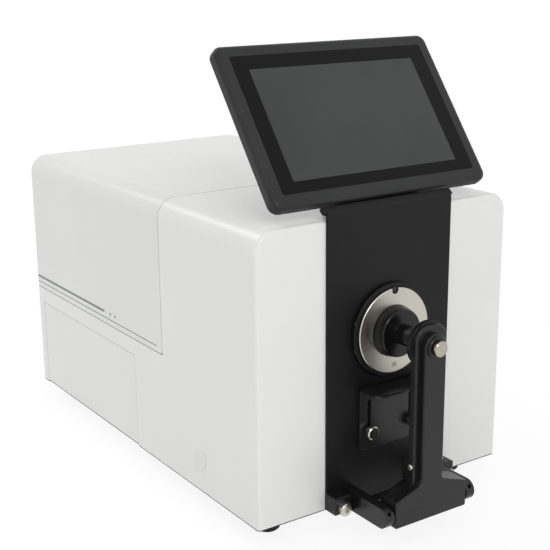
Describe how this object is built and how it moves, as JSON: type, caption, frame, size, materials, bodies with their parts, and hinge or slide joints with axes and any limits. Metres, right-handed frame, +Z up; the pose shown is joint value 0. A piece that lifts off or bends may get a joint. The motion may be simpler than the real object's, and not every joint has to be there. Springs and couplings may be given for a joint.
{
  "type": "benchtop sphere spectrophotometer with tilting screen",
  "caption": "White benchtop colour spectrophotometer with a hood lid over its transmission chamber, a front port with a sprung sample clamp and a tilting touch screen",
  "frame": {"origin": "On the table under the middle of the whole instrument, measured over the clamp knob and the lid hinges", "axes": "+X to the instrument's right seen by someone facing its screen, -Y the front with the port, +Z up"},
  "size_m": [0.2428, 0.4636, 0.363],
  "materials": {
    "white_shell": "warm white moulded plastic, fine texture",
    "white_trim": "warm white plastic plug",
    "black_sheet": "satin black powder coat on sheet metal",
    "black_alloy": "black anodised alloy, satin",
    "black_plastic": "black moulded plastic",
    "bezel_plastic": "dark grey moulded plastic, satin",
    "screen_glass": "dark cover glass",
    "display_film": "unlit display, smooth",
    "turned_steel": "turned stainless face",
    "bright_steel": "bright nickel-plated steel",
    "dark_steel": "blackened steel",
    "foot_rubber": "black rubber",
    "zinc_sheet": "zinc-plated sheet",
    "cast_alloy": "machined light alloy",
    "clear_glass": "clear optical glass",
    "board_laminate": "green circuit board",
    "brass_post": "turned brass"
  },
  "bodies": {
    "housing": {"aperture_ring": "turned_steel", "arm_pivot_pins": "bright_steel", "base_plate": "zinc_sheet", "base_screws": "bright_steel", "board_standoffs": "brass_post", "bracket_screws": "bright_steel", "collection_lens": "clear_glass", "collection_lens_tube": "cast_alloy", "front_panel": "black_sheet", "hinge_bracket_left": "black_alloy", "hinge_bracket_right": "black_alloy", "holder_clips": "bright_steel", "io_panel_screws": "bright_steel", "lamp_bulb": "clear_glass", "lamp_housing": "cast_alloy", "lid_bumpers": "foot_rubber", "lid_hinge_lower_leaves": "bright_steel", "lid_hinge_pins": "bright_steel", "locating_pin": "black_plastic", "main_board": "board_laminate", "main_housing": "white_shell", "pivot_set_screws": "dark_steel", "port_rim": "black_sheet", "power_inlet": "black_plastic", "power_supply": "zinc_sheet", "rear_io_panel": "zinc_sheet", "rubber_feet": "foot_rubber", "screen_bracket": "black_sheet", "screen_bracket_screws": "bright_steel", "serial_port": "bright_steel", "side_plugs": "white_trim", "side_service_panel": "white_shell", "spectrometer_box": "cast_alloy", "spectrometer_cover": "cast_alloy", "sphere_front_half": "cast_alloy", "sphere_rear_half": "cast_alloy", "sphere_stand": "cast_alloy", "switch_frame": "black_plastic", "tilt_pin": "bright_steel", "transmission_holder": "black_sheet", "transmission_port": "cast_alloy", "usb_ports": "bright_steel"},
    "lid": {"lid": "white_shell", "lid_hinge_upper_leaves": "bright_steel"},
    "sample_arm": {"arm_base": "black_alloy", "arm_plate": "black_alloy", "arm_screws": "bright_steel"},
    "plunger": {"plunger_pad": "black_plastic", "plunger_rod": "bright_steel", "plunger_spring": "bright_steel"},
    "sample_shelf": {"sample_shelf": "black_sheet"},
    "thumbscrew_left": {"shelf_thumbscrew_left": "bright_steel"},
    "thumbscrew_right": {"shelf_thumbscrew_right": "bright_steel"},
    "screen": {"tablet_bezel": "bezel_plastic", "touch_glass": "screen_glass", "display_panel": "display_film", "tablet_back_cover": "bezel_plastic", "tilt_leaf": "black_sheet"},
    "rocker": {"power_switch": "black_plastic"}
  },
  "joints": [
    {"name": "lid_hinge", "type": "hinge", "parent": "housing", "child": "lid", "pos_m": [0, 0.2284, 0.11494], "axis": [-1, 0, 0], "range_deg": [0, 85]},
    {"name": "arm_hinge", "type": "hinge", "parent": "housing", "child": "sample_arm", "pos_m": [0, -0.2178, 0.0256], "axis": [1, 0, 0], "range_deg": [0, 90]},
    {"name": "plunger_slide", "type": "slide", "parent": "sample_arm", "child": "plunger", "axis": [0, -1, 0], "range_m": [0, 0.01], "stiffness_N_per_m": 300, "springref_m": -0.012, "deforming": ["plunger_spring"]},
    {"name": "shelf_slide", "type": "slide", "parent": "housing", "child": "sample_shelf", "axis": [0, 0, 1], "range_m": [-0.024, 0]},
    {"name": "thumbscrew_turn_left", "type": "hinge", "parent": "housing", "child": "thumbscrew_left", "pos_m": [-0.0206, -0.1708, 0.07433], "axis": [0, -1, 0], "continuous": true},
    {"name": "thumbscrew_turn_right", "type": "hinge", "parent": "housing", "child": "thumbscrew_right", "pos_m": [0.0206, -0.1708, 0.07433], "axis": [0, -1, 0], "continuous": true},
    {"name": "screen_tilt", "type": "hinge", "parent": "housing", "child": "screen", "pos_m": [0, -0.1486, 0.2547], "axis": [-1, 0, 0], "range_deg": [0, 53]},
    {"name": "power_rocker", "type": "hinge", "parent": "housing", "child": "rocker", "pos_m": [-0.02016, 0.224, 0.05857], "axis": [-1, 0, 0], "range_deg": [0, 18]}
  ]
}
